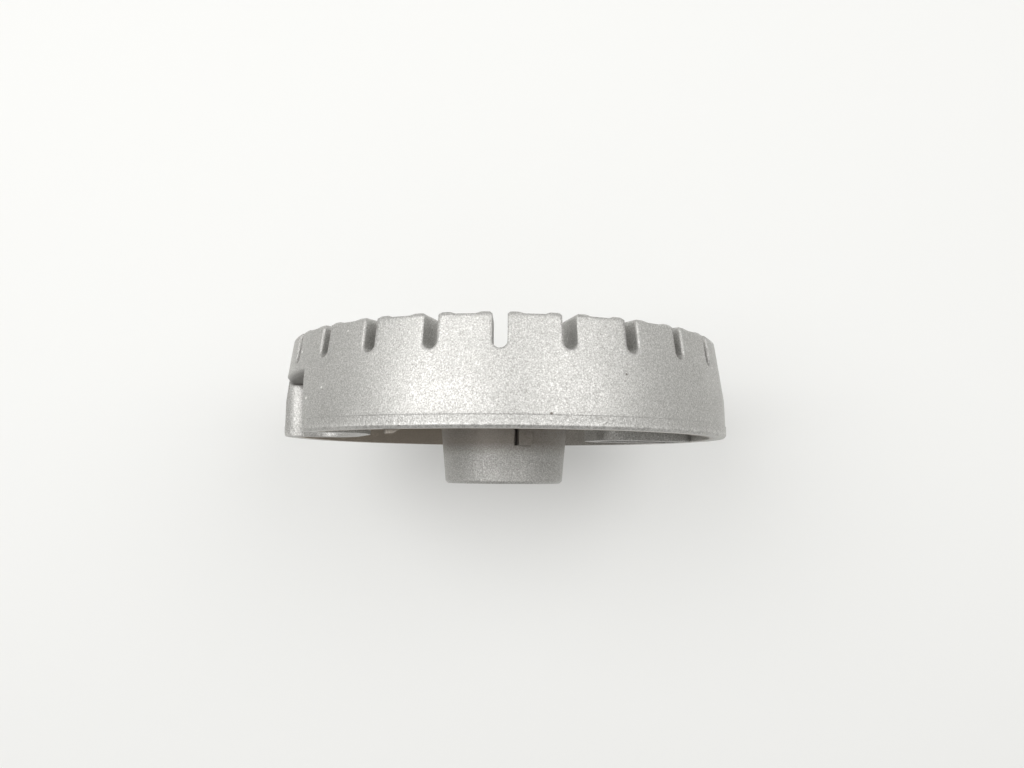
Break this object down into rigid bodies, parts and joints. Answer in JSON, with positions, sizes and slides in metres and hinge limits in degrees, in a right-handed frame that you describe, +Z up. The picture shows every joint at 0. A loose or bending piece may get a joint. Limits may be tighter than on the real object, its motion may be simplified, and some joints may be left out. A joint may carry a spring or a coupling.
{
  "type": "gas burner base",
  "caption": "Die-cast gas burner base: a tapered ring with open flame slots and cap pads, a hollow skirt with an electrode pocket, and a short hollow neck that plugs into the injector holder.",
  "frame": {"origin": "on the axis of the ring, in the plane of the lower rim", "axes": "+Z up along the axis towards the flame slots, -X through the electrode pocket, and the key on the neck within 4 degrees of -Y"},
  "size_m": [0.0727, 0.0734, 0.0228],
  "materials": {
    "cast_aluminium": "shot-blasted die casting, warm light grey with a fine sparkle"
  },
  "bodies": {
    "root": {"burner_base": "cast_aluminium"}
  },
  "joints": []
}
